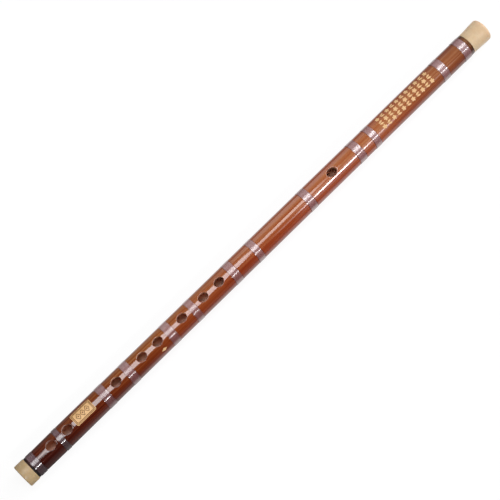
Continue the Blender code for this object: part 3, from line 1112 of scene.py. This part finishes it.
PANEL_GROUND_COLOUR = (1.0, 0.62, 0.28)
PANEL_LINE_COLOUR = (0.32, 0.14, 0.04)
GILT_COLOUR = (0.95, 0.60, 0.29)
PAINT_ROUGHNESS = 0.45
GILT_ROUGHNESS = 0.40
PAINT_WORN = 0.88
PAINT_CONTRAST = (0.35, 0.55)


def paint_finish(name, colour, roughness):
    """Thin paint with uneven cover."""
    graph = Material(name)
    cover = graph.noise(*PAINT_COVER)
    worn = tuple(channel * PAINT_WORN for channel in colour)
    graph.set(Base_Color=graph.ramp(cover, tuple(zip(PAINT_CONTRAST, (worn, colour)))),
              Roughness=roughness, Normal=graph.bump(cover, *FAINT_BUMP))
    return graph.material


# Camera, which stands where the photograph was taken from
IMAGE_PIXELS = 500
FOCAL_PIXELS = 1632
CAMERA_DISTANCE = 1.3826
CAMERA_FROM_TAIL = 0.036
CAMERA_TURN = 13.5
CAMERA_TILT = 9.642
AIM_ASIDE = 0.00335
FLUTE_ON_IMAGE = (0.7165, 0.6976)
SENSOR_WIDTH = 36.0


def facing(place, aim):
    """Axes of a thing that looks from a place at its aim: along the flute, across it and back."""
    back = (Vector(place) - Vector(aim)).normalized()
    along = Vector((1.0, 0.0, 0.0))
    along = (along - back * along.dot(back)).normalized()
    return along, back.cross(along), back


def set_up(name, data, place, axes):
    """Object at a place, with its X, Y and Z axes laid along the given ones."""
    thing = add_object(name, data)
    thing.matrix_world = Matrix.Translation(place) @ Matrix(axes).transposed().to_4x4()
    return thing


def make_camera():
    """Camera over the tail, turned round the tube towards -Y and rolled to lay the flute aslant."""
    turn = math.radians(CAMERA_TURN)
    up_from_tube = Vector((0.0, -math.sin(turn), math.cos(turn)))
    aside = Vector((0.0, math.cos(turn), math.sin(turn)))
    foot = Vector((TAIL_END + CAMERA_FROM_TAIL, 0.0, AXIS_Z))
    place = foot + up_from_tube * CAMERA_DISTANCE
    aim_x = foot.x + CAMERA_DISTANCE * math.tan(math.radians(CAMERA_TILT))
    aim = Vector((aim_x, 0.0, AXIS_Z)) + aside * AIM_ASIDE
    along, across, back = facing(place, aim)
    right = along * FLUTE_ON_IMAGE[0] - across * FLUTE_ON_IMAGE[1]
    up = along * FLUTE_ON_IMAGE[1] + across * FLUTE_ON_IMAGE[0]
    data = bpy.data.cameras.new("camera")
    data.sensor_width = SENSOR_WIDTH
    data.lens = FOCAL_PIXELS / IMAGE_PIXELS * SENSOR_WIDTH
    bpy.context.scene.camera = set_up("camera", data, place, (right, up, back))


# Stage and light
WHITE = (1.0, 1.0, 1.0, 1.0)
LAMP_COLOUR = (0.98, 0.98, 1.0)
FLOOR_SIZE = 30.0
FLOOR_COLOUR = 0.13
FLOOR_ROUGHNESS = 0.9
FLOOR_SPECULAR = 0.1
# The floor's own glow for the camera, for soft fill and, beside the flute, for mirrored rays. The last
# fades over X, over the distance from the flute, and between the flute's two sides.
FLOOR_GLOW_SEEN = 0.90
FLOOR_GLOW_FILL = 0.70
FLOOR_GLOW_MIRRORED = 0.74
FLOOR_GLOW_ALONG = (-0.285, -0.10)
FLOOR_GLOW_ASIDE = (0.018, 0.070)
FLOOR_GLOW_SIDES = (-0.01, 0.01)
FLOOR_GLOW_MINUS_SHARE = 0.86


def make_floor():
    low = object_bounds()[0]
    half = FLOOR_SIZE / 2
    corners = [(-half, -half, low.z), (half, -half, low.z), (half, half, low.z), (-half, half, low.z)]
    mesh = bpy.data.meshes.new("floor")
    mesh.from_pydata(corners, [], [(0, 1, 2, 3)])
    floor = add_object("floor", mesh)
    graph = Material("floor")
    x, y, z = graph.axes()
    near = graph.math("MULTIPLY", graph.span(x, *FLOOR_GLOW_ALONG, 0.0, FLOOR_GLOW_MIRRORED, smooth=True),
                      graph.span(graph.math("ABSOLUTE", y), *FLOOR_GLOW_ASIDE, 1.0, 0.0, smooth=True))
    near = graph.math("MULTIPLY", near, graph.span(y, *FLOOR_GLOW_SIDES, FLOOR_GLOW_MINUS_SHARE, 1.0))
    path = graph.add("LightPath").outputs
    mirrored = graph.math("MAXIMUM", path["Is Glossy Ray"], path["Is Transmission Ray"])
    glow = graph.math("MAXIMUM", graph.math("MULTIPLY", path["Is Camera Ray"], FLOOR_GLOW_SEEN),
                      graph.math("MULTIPLY", path["Is Diffuse Ray"], FLOOR_GLOW_FILL))
    glow = graph.math("MAXIMUM", glow, graph.math("MULTIPLY", mirrored, near))
    graph.set(Base_Color=(FLOOR_COLOUR, FLOOR_COLOUR, FLOOR_COLOUR, 1.0), Roughness=FLOOR_ROUGHNESS,
              Specular_IOR_Level=FLOOR_SPECULAR, Emission_Color=WHITE, Emission_Strength=glow)
    mesh.materials.append(graph.material)


# Each lamp: angle from the hole line, distance from the axis, ends along X, width, radiance
LAMPS = {
    "softbox_start": (9.5, 1.33, (-0.45, -0.285), 0.44, 3.2),
    "softbox": (7.5, 1.33, (-0.285, 0.03), 1.02, 3.25),
    "softbox_middle": (5.3, 1.33, (0.03, 0.21), 0.91, 3.3),
    "softbox_end": (3.7, 1.33, (0.21, 0.37), 0.50, 2.4),
    "softbox_tip": (3.7, 1.33, (0.37, 0.41), 0.45, 1.0),
    "head_box": (8.0, 1.33, (1.08, 1.65), 0.70, 9.0),
    "side_lamp_tail": (-42.5, 1.345, (-0.620, -0.360), 0.06, 62.0),
    "side_lamp_dim": (-42.5, 1.345, (0.270, 0.325), 0.30, 0.75),
    "side_lamp_start": (-42.5, 1.345, (0.325, 0.366), 0.30, 3.2),
    "side_lamp": (-42.5, 1.345, (0.366, 0.486), 0.31, 12.5),
    "side_lamp_end": (-42.5, 1.345, (0.486, 0.510), 0.30, 3.2),
    "side_lamp_tip": (-42.5, 1.345, (0.510, 0.555), 0.30, 2.5),
    "side_lamp_far": (-42.5, 1.345, (0.630, 0.700), 0.30, 0.75),
    "side_lamp_beyond": (-42.5, 1.345, (1.080, 1.280), 0.06, 75.0),
    "side_reflector": (-45.0, 1.40, (0.366, 0.58), 1.60, 0.60),
}


def make_lights():
    """Rectangular lamps that face the tube, each as bright as its radiance says."""
    for name, (angle, distance, ends, width, radiance) in LAMPS.items():
        middle = sum(ends) / 2
        length = ends[1] - ends[0]
        data = bpy.data.lights.new(name, "AREA")
        data.shape = "RECTANGLE"
        data.size = length
        data.size_y = width
        data.energy = radiance * math.pi * length * width
        data.color = LAMP_COLOUR
        place = on_tube(middle, math.radians(angle), distance)
        set_up(name, data, place, facing(place, (middle, 0.0, AXIS_Z)))


# Room: dim, paler low down and past the tail, with bright walls past the head and on the +Y side.
# Each fade runs over one of a direction's coordinates.
ROOM = 0.025
HORIZON = 0.10
HORIZON_FADE = (0.10, 0.25)
TAIL_WALL = 0.15
TAIL_WALL_FADE = (-0.35, -0.15)
HEAD_WALL = 1.00
HEAD_WALL_FADE = (0.50, 0.70)
SIDE_WALL = 0.75
SIDE_WALL_NEAR_FADE = (0.10, 0.21)
SIDE_WALL_FAR_FADE = (0.22, 0.29)
SIDE_WALL_FAR_SHARE = 0.26
SIDE_WALL_FADE = (0.62, 0.88)


def make_world():
    world = bpy.data.worlds.new("studio")
    bpy.context.scene.world = world
    world.use_nodes = True
    graph = Graph(world.node_tree)
    along, across, up = graph.split(graph.add("TexCoord").outputs["Generated"])
    ends = graph.math("ADD", graph.span(along, *TAIL_WALL_FADE, TAIL_WALL, 0.0, smooth=True),
                      graph.span(along, *HEAD_WALL_FADE, 0.0, HEAD_WALL, smooth=True))
    side = graph.math("MULTIPLY", graph.span(along, *SIDE_WALL_NEAR_FADE, 0.0, SIDE_WALL, smooth=True),
                      graph.span(along, *SIDE_WALL_FAR_FADE, 1.0, SIDE_WALL_FAR_SHARE, smooth=True))
    side = graph.math("MULTIPLY", side, graph.span(across, *SIDE_WALL_FADE, smooth=True))
    horizon = graph.span(up, *HORIZON_FADE, HORIZON, ROOM, smooth=True)
    strength = graph.math("MAXIMUM", graph.math("MAXIMUM", side, ends), horizon)
    graph.fill(graph.nodes["Background"], {"Color": (*LAMP_COLOUR, 1.0), "Strength": strength})


def main():
    make_body()
    for node in BINDINGS:
        make_binding(node, thread_finish(node))
    # The tail cap's darker colours are painted shade
    make_tail_cap(resin_finish("tail_cap_resin_painted_shade", *SHADED_TAIL_RESIN))
    make_head_cap(resin_finish("head_cap_resin", *HEAD_RESIN))
    make_cork(cork_finish())
    make_panel(paint_finish("panel_ground_paint", PANEL_GROUND_COLOUR, PAINT_ROUGHNESS),
               paint_finish("panel_line_paint", PANEL_LINE_COLOUR, PAINT_ROUGHNESS))
    make_gilding(paint_finish("gilt_paint", GILT_COLOUR, GILT_ROUGHNESS))
    make_floor()
    make_lights()
    make_world()
    make_camera()
    bpy.context.scene.view_settings.view_transform = "Standard"


main()
